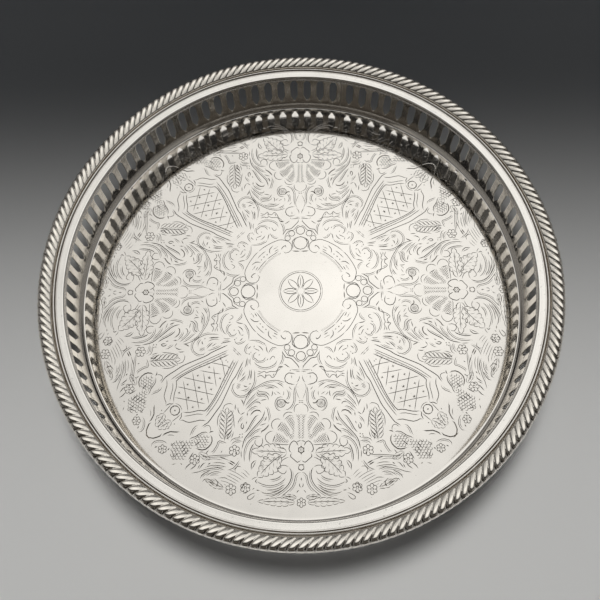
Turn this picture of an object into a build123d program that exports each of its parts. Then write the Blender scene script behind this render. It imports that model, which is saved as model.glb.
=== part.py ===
from build123d import *
from math import cos, radians, sin
import os

# A round silver-plated gallery tray. An engraved pan sits inside an upright pierced gallery, and a flat rim
# with a fine reeded wire and a gadroon border lies on the gallery's top edge. All sizes are in millimetres.
# +Z is up, the origin is on the table under the tray's centre, and +X and +Y each run through the middle of
# one of the four shell motifs of the engraving.

os.makedirs("parts", exist_ok=True)

# Driving dimensions
OUTER_RADIUS = 158.75  # to the widest line of the gadroon border: 12 1/2 inches across
GALLERY_RADIUS = 144.0  # inner face of the pierced gallery
GAUGE = 0.8  # sheet thickness of the gallery, the rim and the pan's upturned edge
BASE_HEIGHT = 1.8  # the base ring lifts the pan this far off the table
PLATE_THICKNESS = 1.2  # engraved floor of the pan
RIM_RISE = 33.5  # from the engraved floor to the flat top of the rim

# Heights worked out from them
PLATE_BOTTOM = BASE_HEIGHT
FLOOR_LEVEL = PLATE_BOTTOM + PLATE_THICKNESS
RIM_TOP = FLOOR_LEVEL + RIM_RISE
RIM_BOTTOM = RIM_TOP - GAUGE

# Base ring
BASE_LEDGE_INNER = 141.0
BASE_COLLAR_THICKNESS = 1.8
BASE_COLLAR_TOP = 4.6
BASE_EDGE_FILLET = 1.2

# Pan
PAN_UPSTAND = 4.6  # height of the upturned edge above the floor
PAN_COVE = 3.5  # inner fillet between the floor and the upturned edge

# Piercings of the gallery: upright openings with pointed ends
PIERCING_COUNT = 99
PIERCING_WIDTH = 4.8
PIERCING_HEIGHT = 22.5
PIERCING_POINT = 3.2  # height of each pointed end
PIERCING_TIP = 1.0  # blunt width of each point
PIERCING_FOOT = 6.5  # lower tips stand this far above the floor

# Seam where the two ends of the gallery strip meet
SEAM_ANGLE = 78.3
SEAM_PITCH = 4.67  # degrees between the two piercings on either side of the seam
SEAM_WIDTH = 0.4

# Rim
RIM_COLLAR_DEPTH = 3.6  # the rim's inner edge turns down inside the gallery by this much
RIM_BEND = 1.0
RIM_BEAD = 0.5  # radius of the bead along the collar's lower edge
NOTCH_RADIUS = 147.5
NOTCH_SIZE = 1.3

# Reeded wire
WIRE_INNER = 148.4
WIRE_WIDTH = 1.8
WIRE_HEIGHT = 0.9
WIRE_FILLET = 0.6

# Gadroon border
SECTION_COUNT = 4
BORDER_WIDTH = 8.5
BORDER_HEIGHT = 3.5
SHELL_THICKNESS = 0.6
BORDER_LIP = 1.1  # the shell's outer edge hangs down over the rim's edge
SECTION_ARC = 360 / SECTION_COUNT

RIM_OUTER = OUTER_RADIUS - SHELL_THICKNESS
BORDER_MIDDLE = OUTER_RADIUS - BORDER_WIDTH / 2
GALLERY_OUTER = GALLERY_RADIUS + GAUGE


def radial_plane(angle):
    """The upright plane through the tray's axis at that angle, with its x axis pointing outwards."""
    turn = radians(angle)
    return Plane(origin=(0, 0, 0), x_dir=(cos(turn), sin(turn), 0), z_dir=(sin(turn), -cos(turn), 0))


def wall_plane(angle, height):
    """The plane that touches the gallery's inner face at that angle and height, facing outwards."""
    turn = radians(angle)
    return Plane(
        origin=(GALLERY_RADIUS * cos(turn), GALLERY_RADIUS * sin(turn), height),
        x_dir=(-sin(turn), cos(turn), 0),
        z_dir=(cos(turn), sin(turn), 0),
    )


def finish(part, name):
    """Labels a finished piece and writes its file."""
    part.label = name
    export_step(part, f"parts/{name}.step")


# Base ring: a drawn wire with a ledge under the pan and a collar around the foot of the gallery
with BuildPart() as base_ring:
    with BuildSketch(Plane.XZ) as base_profile:
        with Locations((BASE_LEDGE_INNER, 0)):
            Rectangle(
                GALLERY_OUTER + BASE_COLLAR_THICKNESS - BASE_LEDGE_INNER,
                BASE_HEIGHT,
                align=(Align.MIN, Align.MIN),
            )
        with Locations((GALLERY_OUTER, 0)):
            Rectangle(BASE_COLLAR_THICKNESS, BASE_COLLAR_TOP, align=(Align.MIN, Align.MIN))
        collar_corner = (GALLERY_OUTER + BASE_COLLAR_THICKNESS, BASE_COLLAR_TOP)
        fillet(base_profile.vertices().sort_by_distance(collar_corner)[0], radius=BASE_EDGE_FILLET)
    revolve(axis=Axis.Z)
finish(base_ring.part, "base_ring")


# Pan: the engraved floor plate with its edge turned up inside the gallery
with BuildPart() as floor_plate:
    with BuildSketch(Plane.XZ) as pan_profile:
        with Locations((0, PLATE_BOTTOM)):
            Rectangle(GALLERY_RADIUS, PLATE_THICKNESS + PAN_UPSTAND, align=(Align.MIN, Align.MIN))
        with Locations((0, FLOOR_LEVEL)):
            Rectangle(
                GALLERY_RADIUS - GAUGE, PAN_UPSTAND, align=(Align.MIN, Align.MIN), mode=Mode.SUBTRACT
            )
        inner_corner = (GALLERY_RADIUS - GAUGE, FLOOR_LEVEL)
        outer_corner = (GALLERY_RADIUS, PLATE_BOTTOM)
        fillet(pan_profile.vertices().sort_by_distance(inner_corner)[0], radius=PAN_COVE)
        fillet(pan_profile.vertices().sort_by_distance(outer_corner)[0], radius=PAN_COVE)
    revolve(axis=Axis.Z)
finish(floor_plate.part, "floor_plate")


# Gallery: one long pierced strip, bent into a hoop, whose ends nearly meet at the seam
pitch = (360 - SEAM_PITCH) / (PIERCING_COUNT - 1)
first_angle = SEAM_ANGLE + SEAM_PITCH / 2
piercing_middle = FLOOR_LEVEL + PIERCING_FOOT + PIERCING_HEIGHT / 2
piercing_planes = [wall_plane(first_angle + i * pitch, piercing_middle) for i in range(PIERCING_COUNT)]
half_width = PIERCING_WIDTH / 2
half_height = PIERCING_HEIGHT / 2
shoulder = half_height - PIERCING_POINT
strip_height = RIM_BOTTOM - BASE_HEIGHT
strip_middle = BASE_HEIGHT + strip_height / 2

with BuildPart() as gallery_strip:
    with BuildSketch(Plane.XZ):
        with Locations((GALLERY_RADIUS, BASE_HEIGHT)):
            Rectangle(GAUGE, strip_height, align=(Align.MIN, Align.MIN))
    revolve(axis=Axis.Z)
    with BuildSketch(*piercing_planes):
        with BuildLine():
            Polyline(
                (PIERCING_TIP / 2, half_height),
                (half_width, shoulder),
                (half_width, -shoulder),
                (PIERCING_TIP / 2, -half_height),
                (-PIERCING_TIP / 2, -half_height),
                (-half_width, -shoulder),
                (-half_width, shoulder),
                (-PIERCING_TIP / 2, half_height),
                close=True,
            )
        make_face()
    extrude(amount=2 * GAUGE, both=True, mode=Mode.SUBTRACT)
    with BuildSketch(wall_plane(SEAM_ANGLE, strip_middle)):
        Rectangle(SEAM_WIDTH, strip_height)
    extrude(amount=2 * GAUGE, both=True, mode=Mode.SUBTRACT)
finish(gallery_strip.part, "gallery_strip")


# Seam: the line of hard solder that closes the hoop
with BuildPart() as gallery_seam:
    with BuildSketch(Plane.XZ):
        with Locations((GALLERY_RADIUS, BASE_HEIGHT)):
            Rectangle(GAUGE, strip_height, align=(Align.MIN, Align.MIN))
    revolve(axis=Axis.Z)
    with BuildSketch(wall_plane(SEAM_ANGLE, strip_middle)):
        Rectangle(SEAM_WIDTH, strip_height)
    extrude(amount=2 * GAUGE, both=True, mode=Mode.INTERSECT)
finish(gallery_seam.part, "gallery_seam")


# Rim: a flat flange on the gallery's top edge, with its inner edge turned down into a beaded collar
with BuildPart() as rim_flange:
    with BuildSketch(Plane.XZ) as rim_profile:
        with Locations((GALLERY_RADIUS - GAUGE, RIM_TOP)):
            Rectangle(RIM_OUTER - GALLERY_RADIUS + GAUGE, GAUGE, align=(Align.MIN, Align.MAX))
            Rectangle(GAUGE, RIM_COLLAR_DEPTH, align=(Align.MIN, Align.MAX))
        bend_corner = (GALLERY_RADIUS - GAUGE, RIM_TOP)
        fillet(rim_profile.vertices().sort_by_distance(bend_corner)[0], radius=RIM_BEND)
        with Locations((GALLERY_RADIUS - GAUGE, RIM_TOP - RIM_COLLAR_DEPTH + RIM_BEAD)):
            Circle(RIM_BEAD)
    revolve(axis=Axis.Z)
    # a small gap is left in the flange where its ends were closed at the seam
    with BuildSketch(Plane.XY.offset(RIM_TOP)):
        with PolarLocations(NOTCH_RADIUS, 1, start_angle=SEAM_ANGLE):
            RectangleRounded(NOTCH_SIZE, NOTCH_SIZE / 2, NOTCH_SIZE / 5)
    extrude(amount=-GAUGE / 2, mode=Mode.SUBTRACT)
finish(rim_flange.part, "rim_flange")


# Reeded wire between the flat band and the gadroon border
with BuildPart() as reed_wire:
    with BuildSketch(Plane.XZ) as wire_profile:
        with Locations((WIRE_INNER, RIM_TOP)):
            Rectangle(WIRE_WIDTH, WIRE_HEIGHT, align=(Align.MIN, Align.MIN))
        fillet(wire_profile.vertices().group_by(Axis.Y)[-1], radius=WIRE_FILLET)
    revolve(axis=Axis.Z)
finish(reed_wire.part, "reed_wire")


# Gadroon border: stamped shells in equal sections, each backed with soft metal
for number in range(SECTION_COUNT):
    section_plane = radial_plane(SEAM_ANGLE + number * SECTION_ARC)

    with BuildPart() as gadroon_shell:
        with BuildSketch(section_plane):
            with Locations((BORDER_MIDDLE, RIM_TOP)):
                Ellipse(BORDER_WIDTH / 2, BORDER_HEIGHT)
                Ellipse(
                    BORDER_WIDTH / 2 - SHELL_THICKNESS, BORDER_HEIGHT - SHELL_THICKNESS, mode=Mode.SUBTRACT
                )
                Rectangle(
                    BORDER_WIDTH, BORDER_HEIGHT, align=(Align.CENTER, Align.MAX), mode=Mode.SUBTRACT
                )
            with Locations((OUTER_RADIUS, RIM_TOP)):
                Rectangle(SHELL_THICKNESS, BORDER_LIP, align=(Align.MAX, Align.MAX))
        revolve(axis=Axis.Z, revolution_arc=SECTION_ARC)
    finish(gadroon_shell.part, f"gadroon_shell_{number + 1}")

    with BuildPart() as gadroon_filling:
        with BuildSketch(section_plane):
            with Locations((BORDER_MIDDLE, RIM_TOP)):
                Ellipse(BORDER_WIDTH / 2 - SHELL_THICKNESS, BORDER_HEIGHT - SHELL_THICKNESS)
                Rectangle(
                    BORDER_WIDTH, BORDER_HEIGHT, align=(Align.CENTER, Align.MAX), mode=Mode.SUBTRACT
                )
        revolve(axis=Axis.Z, revolution_arc=SECTION_ARC)
    finish(gadroon_filling.part, f"gadroon_filling_{number + 1}")
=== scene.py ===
"""Looks of a round silver-plated gallery tray: engraved floor, pierced gallery, rim and gadroon border.

Lengths are in millimetres until a mesh is made, which is where they become metres.
"""
from math import atan2, cos, degrees, pi, radians, sin

import bmesh
import bpy
import numpy as np
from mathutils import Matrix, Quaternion, Vector
from mathutils.geometry import delaunay_2d_cdt


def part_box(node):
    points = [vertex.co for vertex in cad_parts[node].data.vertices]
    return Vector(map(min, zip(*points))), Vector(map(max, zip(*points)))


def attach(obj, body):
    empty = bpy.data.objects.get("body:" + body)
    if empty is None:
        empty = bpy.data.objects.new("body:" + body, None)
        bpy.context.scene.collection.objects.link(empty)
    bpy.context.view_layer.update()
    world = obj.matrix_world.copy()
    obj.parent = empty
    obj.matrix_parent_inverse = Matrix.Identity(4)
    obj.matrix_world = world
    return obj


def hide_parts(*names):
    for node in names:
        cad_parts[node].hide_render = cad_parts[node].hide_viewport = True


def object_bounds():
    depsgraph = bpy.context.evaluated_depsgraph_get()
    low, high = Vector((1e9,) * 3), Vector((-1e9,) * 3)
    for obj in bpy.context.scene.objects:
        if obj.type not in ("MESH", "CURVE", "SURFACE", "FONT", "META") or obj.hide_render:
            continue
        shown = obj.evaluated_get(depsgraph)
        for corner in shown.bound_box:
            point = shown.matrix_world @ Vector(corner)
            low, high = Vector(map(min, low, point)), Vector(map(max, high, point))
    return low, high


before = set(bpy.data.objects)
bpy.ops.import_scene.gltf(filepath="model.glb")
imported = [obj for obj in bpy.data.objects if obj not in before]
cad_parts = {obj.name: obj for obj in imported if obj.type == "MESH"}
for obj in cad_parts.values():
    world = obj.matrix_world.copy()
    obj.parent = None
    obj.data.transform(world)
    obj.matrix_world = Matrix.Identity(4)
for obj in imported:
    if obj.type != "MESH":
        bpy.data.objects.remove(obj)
cad_low, cad_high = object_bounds()

MM = 0.001
BODY = "root"


def in_mm(node):
    """The lowest and highest corners of a CAD node, in millimetres."""
    low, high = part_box(node)
    return low / MM, high / MM


# Sizes read from the frame
pan_low, pan_high = in_mm("floor_plate")
strip_low, strip_high = in_mm("gallery_strip")
rim_low, rim_high = in_mm("rim_flange")
shell_low, shell_high = in_mm("gadroon_shell_1")
foot_high = in_mm("base_ring")[1]
wire_high = in_mm("reed_wire")[1]

OUTER_RADIUS = cad_high.x / MM
GALLERY_RADIUS = pan_high.x
GALLERY_OUTER = strip_high.x
GAUGE = GALLERY_OUTER - GALLERY_RADIUS
PAN_BOTTOM = pan_low.z
PAN_TOP = pan_high.z
STRIP_BOTTOM = strip_low.z
STRIP_TOP = strip_high.z
RIM_TOP = rim_high.z
COLLAR_BOTTOM = rim_low.z
BORDER_TOP = shell_high.z
LIP_BOTTOM = shell_low.z
FOOT_OUTER = foot_high.x
FOOT_TOP = foot_high.z

# Sizes that the frame's boxes do not give
PLATE_THICKNESS = 1.2
FLOOR_LEVEL = PAN_BOTTOM + PLATE_THICKNESS
COVE = 1.4  # radius of the pan's inner corner
UPSTAND_FLARE = 0.8  # the pan's upturned edge leans outwards by this much
FOOT_INNER = 141.0
LEDGE_TOP = PAN_BOTTOM
WIRE_INNER = 148.4
WIRE_WIDTH = 1.8
BORDER_WIDTH = 8.5
SHELL_THICKNESS = 0.6
SEAM_ANGLE = 78.3  # degrees round the tray from +X
SEAM_WIDTH = 0.4
SEAM_PITCH = 4.67  # degrees between the two piercings beside the seam
PIERCING_COUNT = 99
PIERCING_WIDTH = 4.8
PIERCING_HEIGHT = 22.5
PIERCING_POINT = 4.8
PIERCING_TIP = 0.6
PIERCING_FOOT = 6.5  # from the floor up to a piercing's lower tip
PITCH = (360 - SEAM_PITCH) / (PIERCING_COUNT - 1)  # degrees between piercings, wider only at the seam

RING_STEPS = 720  # columns of every turned ring


# ---------------------------------------------------------------- mesh helpers


def make_piece(name, points, faces, material, sharp=35):
    """Makes a smooth-shaded piece from points in millimetres. Edges above the sharp angle stay sharp."""
    mesh = bpy.data.meshes.new(name)
    mesh.from_pydata((np.asarray(points) * MM).tolist(), [], faces)
    mesh.validate()
    mesh.materials.append(material)
    mesh.polygons.foreach_set("use_smooth", [True] * len(mesh.polygons))
    mesh.set_sharp_from_angle(angle=radians(sharp))
    mesh.update()
    piece = bpy.data.objects.new(name, mesh)
    bpy.context.scene.collection.objects.link(piece)
    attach(piece, BODY)
    return piece


def set_value(piece, name, values):
    """Stores one number per vertex for the piece's material to read."""
    attribute = piece.data.attributes.new(name, "FLOAT", "POINT")
    attribute.data.foreach_set("value", np.asarray(values, np.float32))


def loft_faces(columns, count, wrap, start=0):
    """Quads that join each closed loop of count points to the next, with caps where it does not wrap."""
    faces = []
    for c in range(columns if wrap else columns - 1):
        here = start + c * count
        there = start + (c + 1) % columns * count
        for i in range(count):
            j = (i + 1) % count
            faces.append((here + i, there + i, there + j, here + j))
    if not wrap:
        last = start + (columns - 1) * count
        for i in range(count // 2 - 1):
            j = count - 1 - i
            faces.append((start + i, start + i + 1, start + j - 1, start + j))
            faces.append((last + j, last + j - 1, last + i + 1, last + i))
    return faces


def turn(profile):
    """The points of a closed profile of (radius, height), turned about the tray's axis."""
    profile = np.array(profile)
    angles = np.arange(RING_STEPS) * 2 * pi / RING_STEPS
    ring = np.empty((RING_STEPS, len(profile), 3))
    ring[..., 0] = np.cos(angles)[:, None] * profile[:, 0]
    ring[..., 1] = np.sin(angles)[:, None] * profile[:, 0]
    ring[..., 2] = profile[:, 1]
    return ring.reshape(-1, 3)


def arc(centre, radius, start, end, count):
    """Points along an arc, its angles in degrees."""
    angles = [radians(start + (end - start) * i / (count - 1)) for i in range(count)]
    return [(centre[0] + radius * cos(a), centre[1] + radius * sin(a)) for a in angles]


def turned_piece(name, profile, material):
    """A ring with the given closed profile, which runs anticlockwise with the radius to the right."""
    points = turn(profile)
    faces = [face[::-1] for face in loft_faces(RING_STEPS, len(profile), True)]
    return make_piece(name, points, faces, material)


# ---------------------------------------------------------------- engraving

# The pattern repeats eight times, mirrored. Each line is drawn in the first eighth as points (a, r): r runs
# outwards along the middle of a shell motif, and a sideways from it. Its weight says how wide it is cut:
# fine, medium, bold or extra bold.
CUT_WIDTH = {"f": 0.26, "m": 0.38, "b": 0.52, "B": 0.85}
CUT_DEPTH = 0.09
TAPER = 1.6  # length of the pointed end of a cut
STEP = 2.4  # longest spacing of points along a cut
BEND = 0.45  # largest turn between two points, in radians
ENGRAVED_RADIUS = 140.5
FULL_WIDTH = 0.15  # half width from which a cut reaches its full depth
AXIS_REACH = 0.8  # a cut this near to the motif's middle line also gets its mirror image
DIAGONAL_REACH = 1.2  # and so does one this near to the diagonal

BALL_AND_FRAME = [
    ("B", (0, 28.6), (3, 28.6), (5.8, 29.0)),
    ("b", (5.3, 29.6), (5.1, 32.9), (5.6, 35.6), (3.6, 38.2), (2.8, 39.1)),
    ("m", (12.0, 28.6), (10.6, 27.3), (8.3, 27.6), (6.3, 29.3), (5.8, 31.5), (6.2, 33.6), (6.9, 35.0),
     (8.8, 36.1), (11.7, 36.8), (13.1, 37.2), (15.2, 36.7), (19.5, 34.8), (23.8, 32.2), (26.5, 30.2),
     (28.6, 28.0)),
    ("b", (12.6, 29.6), (12.6, 30.6), (11.7, 31.9), (10.1, 32.7), (9.8, 31.3)),
    ("b", (14.6, 30.0), (16.2, 29.2), (17.6, 28.2)),
    ("m", (15.5, 31.4), (17.3, 30.7), (18.4, 29.9)),
    ("f", (14.7, 32.1), (16.3, 31.8)),
    ("b", (20.2, 26.5), (20.9, 28.3), (20.8, 30.0), (19.6, 31.6), (18.4, 33.0)),
    ("m", (23.2, 28.9), (25.2, 27.4), (26.3, 26.3), (27.2, 25.3)),
    ("m", (14.2, 29.0), (16.5, 27.3), (20, 24.8), (22.7, 22.4)),
    ("B", (21.9, 26.6), (23.0, 25.8)),
    ("B", (24.0, 25.0), (24.9, 24.2)),
]

CROWN = [
    ("m", (0, 47.9), (2.0, 47.4), (3.4, 45.7), (4.5, 44.2), (6.9, 43.9), (8.0, 43.6), (9.0, 42.3),
     (9.8, 40.9), (11.2, 39.3)),
    ("b", (1.2, 52.5), (1.5, 50.6), (3.1, 48.7), (4.5, 47.1), (6.1, 45.5), (7.1, 45.0), (9.6, 44.7),
     (10.1, 43.9), (11.7, 41.5), (12, 40.1)),
    ("m", (0, 52.9), (3, 52.9), (6.5, 52.6)),
    ("m", (0, 53.9), (3.7, 53.9)),
    ("b", (3.4, 55.5), (6.1, 54.9), (8.2, 54.9), (9.6, 56.3), (10.2, 57.9), (9.8, 60.0), (8.7, 61.1),
     (6.1, 61.9), (3.7, 62.2)),
    ("m", (1.0, 56.3), (1.1, 58.7), (2.8, 61.1)),
    ("m", (5.8, 56), (5.8, 58.4)),
    ("m", (6.3, 52.5), (7.1, 53.8)),
    ("b", (6.9, 51.4), (8.2, 50.6), (9.6, 49.5), (11.2, 49.0)),
]

C_SCROLL = [
    ("m", (14.8, 38.9), (16.0, 38.2), (17.8, 38.3), (19.2, 39.4), (20.1, 41.0), (20.7, 42.2)),
    ("m", (11.7, 41.5), (11.7, 45.2), (12.2, 47.4), (13.3, 49.0), (13.9, 50.1)),
    ("m", (16.5, 45.8), (16.7, 44.4), (17.9, 43.9), (19.0, 45.2), (19.8, 46.6)),
    ("b", (20.8, 45.2), (21.7, 46.9)),
    ("m", (22.2, 44.4), (23.0, 45.5), (23.8, 46.6), (25.7, 47.1), (27.6, 46.8), (28.4, 45.5), (29.7, 45.2),
     (30.0, 43.4), (29.5, 42.0), (28.1, 41.2)),
    ("m", (14.9, 46.3), (15.7, 48.2), (17.4, 49.8), (19.2, 50.7), (21.1, 51.2), (23, 51.4), (24.9, 51.0),
     (26.8, 50.1), (28.6, 49.0), (29.7, 47.4)),
    ("b", (22.2, 36.9), (21.7, 40.1), (20.8, 42.0)),
    ("m", (22.2, 37.4), (23.0, 35.8), (25.2, 34.5), (27, 33.5), (29.7, 33.3), (33.5, 33.4)),
    ("b", (23.9, 40.9), (24.6, 39.3), (26.0, 37.7), (27.6, 36.9)),
    ("b", (29.7, 36.6), (30, 38.5)),
    ("m", (30, 38.5), (27.8, 39.6), (26.5, 40.1), (27, 40.9)),
    ("b", (31.6, 37.2), (32.9, 38.2), (33.8, 39.3)),
    ("m", (33.2, 35.0), (34.8, 36.9), (35.9, 39.1), (35.6, 40.9), (34.6, 42.0), (33, 42.5)),
    ("m", (31.9, 42), (31.6, 40.7)),
    ("b", (33.8, 44.4), (34.3, 46.8), (34.8, 49.8), (35.6, 51.4)),
    ("m", (31.9, 45), (32.4, 47.7), (31.6, 49.8)),
]

BAT_WING = [
    ("m", (10.9, 50.6), (13.6, 50.6), (14.7, 52.5), (15.7, 53.8), (19.4, 53.8), (21.8, 54.6), (23, 53.5),
     (24.6, 54.3), (27.6, 53.3)),
    ("m", (12.5, 51.7), (14.9, 53.6), (16, 56), (17.9, 57.9), (19.2, 56.3), (20.3, 56), (21.8, 56.5),
     (22.5, 58.1), (24.9, 56.3), (27.8, 57.3)),
    ("B", (11, 50.9), (14.3, 51.3)),
    ("b", (16.6, 54.8), (17.8, 57.0)),
    ("b", (21.9, 55), (22.6, 57.5)),
    ("b", (24.6, 55.1), (27.8, 55.4)),
]

PENDANT = [
    ("f", (1.6, 60.6), (3.0, 62.6), (3.4, 64.2), (2.8, 67), (1.6, 69.8), (0.9, 71.6)),
    ("b", (0, 72.4), (1.4, 72.3)),
    ("b", (0, 73.5), (1.6, 73.4)),
    ("m", (0.9, 74.3), (2.8, 74.9), (4.0, 76.4), (4.3, 78.4), (3.8, 79.6)),
]

ACANTHUS_SCROLL = [
    ("m", (10, 61), (14.7, 59.5), (19.3, 59.7), (23.3, 61), (27.3, 63.3), (30.7, 65.3), (32.7, 67.7),
     (34, 70.3), (35, 72.7), (35.7, 76)),
    ("m", (3.8, 63), (4.2, 66), (4.5, 69), (4.3, 71.2), (4.8, 73.7), (6.3, 76.3),
     (8.1, 77.7), (10.3, 78.1)),
    ("m", (7.7, 63.3), (5.7, 65.7)),
    ("b", (16, 60.8), (13.7, 61.7), (11.7, 63), (10.7, 64.2)),
    ("m", (9, 65.3), (7.8, 67.3), (7.7, 69.3), (8.7, 71.3), (9.7, 72)),
    ("m", (10.8, 66), (10.7, 68), (11.3, 69.3)),
    ("m", (11, 70.2), (13.5, 69.9), (15.3, 71.3), (16.1, 73.5), (15.8, 76), (14.2, 78), (12, 78.6)),
    ("B", (7, 73.2), (8.3, 74), (9.8, 72.9), (10.5, 71.5)),
    ("m", (13.8, 64.9), (16, 63.3), (18.5, 62.4), (21, 62.4), (23.5, 63), (25.3, 63.9)),
    ("b", (16.5, 65), (18.3, 64), (20, 64.2), (22.3, 64.6)),
    ("m", (12.5, 68.3), (14, 67.3), (15.3, 66.5)),
    ("m", (15, 68.7), (16.2, 68), (17, 66.5)),
    ("b", (18, 65.7), (17.7, 68), (18.7, 69.7)),
    ("m", (19.2, 69.7), (20.5, 67.8), (22.5, 66.7), (25.2, 66.7), (26.7, 66), (27.7, 65)),
    ("b", (20.2, 72), (20.6, 70), (22.5, 68.5), (24.7, 68.5), (26, 68.7), (27.3, 67.3), (27.6, 66.2)),
    ("b", (21, 71.3), (23.3, 71.7), (25.3, 72.2)),
    ("b", (25.5, 74.7), (25.3, 73.7), (26.7, 73), (28.3, 73.3)),
    ("m", (26, 70.7), (28, 71.7), (30.7, 73.7), (33, 76.3), (34.3, 78)),
    ("m", (28, 67.3), (30, 69.7), (32, 71.7), (33.7, 74.3), (34.5, 76)),
    ("m", (26.3, 76.3), (28, 75.7), (30, 76.3), (32, 78), (33.3, 79.3)),
    ("B", (24.4, 79.8), (25.9, 78.2), (28, 78.3), (29.7, 79.3), (31.5, 81.7)),
    ("B", (33, 79), (33.2, 82.2)),
]

STEMS = [
    ("b", (22.3, 78), (23.2, 81.7), (25, 84.4), (27.4, 87.1), (30.2, 90.2), (33.2, 93.8), (34.7, 96.2),
     (35.3, 98.9), (36, 102)),
    ("b", (25.9, 80.8), (28, 82), (29.5, 84.1), (31.1, 86.8), (32.9, 90.2), (34.7, 92)),
    ("m", (22.3, 75.9), (20.8, 77.4), (20.2, 80.2), (19.5, 82.9), (20, 85.6)),
    ("B", (21.1, 81.7), (22, 84.1), (23, 85)),
    ("B", (19.5, 86.5), (20.8, 88.6), (22.9, 90.5), (24.1, 91.1), (24.7, 92.6)),
    ("m", (21.1, 86.2), (23.5, 86.8), (25.6, 87.7)),
    ("m", (23.8, 89.2), (26.2, 89.8), (28.6, 91.1), (31.1, 93.8), (32.6, 95.6)),
    ("m", (24.1, 94.4), (25.3, 93.9), (28, 94.1), (30.2, 95.3), (32.3, 97.4), (33.6, 99.8), (34.4, 102.5),
     (34.4, 106), (34.1, 109.3)),
    ("m", (23.8, 94.7), (23.3, 97.1), (24.1, 99.2), (25.6, 100), (27.5, 99), (28.2, 97.3), (27.3, 95.7)),
    ("b", (28.2, 98), (29.7, 99.7), (30.7, 102), (31.3, 105), (31.2, 108), (30.8, 109.5)),
    ("m", (36.3, 102), (36.2, 105), (36, 107)),
    ("B", (37.4, 71.1), (36.2, 72.9), (35.6, 75)),
    ("b", (38.9, 75.9), (38.9, 78.6), (37.1, 80.8)),
    ("b", (34.7, 79.2), (36.2, 80.2), (37.3, 80.8)),
    ("m", (35.6, 81.4), (37.1, 82.9), (38.3, 84.7), (38.8, 86.8)),
    ("b", (35.6, 85.6), (36.5, 86.8), (36.8, 88.3), (35.9, 89.5), (35.2, 88.3), (35.3, 86.5)),
    ("b", (33.2, 84.7), (33.9, 86.8)),
    ("m", (35.9, 95), (39.2, 94.8), (41.7, 95.5), (43.2, 97.4)),
    ("m", (35.3, 97.1), (38.3, 96.5), (41.1, 97.4), (42.3, 99.2)),
]

WHEAT_EAR = [
    ("m", (48.6, 78.6), (49.8, 79.8), (51.1, 82.3), (51.4, 85.3), (51.1, 88.3)),
    ("m", (42, 74.7), (43.8, 73.8), (45.9, 74.1), (47.1, 74.7), (47.9, 76.2), (48.6, 78.6)),
    ("m", (44.1, 77.4), (42.3, 79.8), (41.4, 83.2), (41.1, 86.8), (40.5, 89.2)),
    ("b", (40.5, 74.1), (40.8, 76.8), (40.5, 78.3)),
    ("b", (42.1, 90.2), (43.8, 92.3), (45, 94.1), (44.1, 96.3)),
    ("m", (44.1, 89.2), (45.6, 91.7), (46.8, 93.8)),
    ("m", (41.4, 90.8), (41.7, 93.2), (42.9, 95.3)),
]

TEARDROP = [
    ("m", (29.3, 52.5), (29, 56.5), (29.2, 60.5), (30.4, 63.5), (32.2, 66.5), (34.4, 68.6), (37, 69.3),
     (39.6, 68.8), (41.7, 66.8), (42.8, 64.2), (42.4, 61.9), (40.8, 60.6)),
    ("m", (36.4, 50.4), (38.2, 53.4), (39.3, 56.6), (40, 59.6)),
    ("b", (31.3, 52), (31.3, 56.7), (31.7, 59.3)),
    ("m", (32.7, 52), (32.3, 55), (33, 57.7), (34, 59.7)),
    ("b", (34.3, 56), (36.3, 58), (38, 59.7), (39, 60.3)),
    ("m", (35, 53.7), (36.3, 55.7), (37.3, 57.3)),
    ("B", (31.3, 61.3), (32.7, 62)),
    ("m", (32, 63.3), (33.3, 64.7), (35.3, 65.7), (38, 65.7)),
    ("B", (33.3, 63.3), (35, 63.3), (36, 62.3)),
]

FAN_AND_FLOWER = [
    ("b", (0, 96.6), (1.6, 96.9), (2.8, 97.8)),
    ("b", (1.6, 100), (2.9, 97.6), (4.4, 96.8), (6.1, 98), (7.1, 100.2), (7.3, 102.5), (5.6, 103.8)),
    ("b", (5.8, 104), (6.5, 105.9), (4.4, 107.8), (2.2, 109.5), (0.3, 108.2)),
    ("m", (4.8, 80.2), (6.7, 79.4), (9, 79.6), (10.5, 80.9), (10.9, 82.8)),
    ("m", (12.4, 84), (14.7, 83.4), (16.9, 84.3), (18.1, 86.2), (17.9, 88.5), (16.6, 90)),
    ("m", (16.9, 90.8), (19.2, 91.2), (21.1, 92.7), (21.9, 94.6), (21.1, 96.8), (19.2, 98.3), (17.7, 98.7)),
    ("b", (12, 85.1), (13.2, 87.4), (14.7, 89.3)),
    ("b", (15.8, 93), (16.6, 95.7), (17.5, 97.8)),
    ("m", (4.7, 81.5), (7, 81.4), (9, 82.8), (10.5, 84.5)),
    ("m", (6.7, 98.7), (9.4, 99.1), (13.2, 98.7), (17.3, 98.3)),
]

FLOWER_LEAVES = [
    ("m", (8.8, 102.2), (11.4, 101.1), (15.2, 100.6)),
    ("m", (10.9, 104.6), (12.5, 105.4), (13.9, 106.8), (14.1, 107.8)),
    ("m", (7.1, 106.2), (9.3, 107), (11.2, 108.1), (12.5, 109.4)),
    ("b", (26.9, 107.9), (28.6, 108.9), (29.9, 110.4), (30, 112.6), (29.9, 114.2)),
    ("m", (27, 108.4), (28.3, 110.9), (29.6, 113.4)),
]

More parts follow.
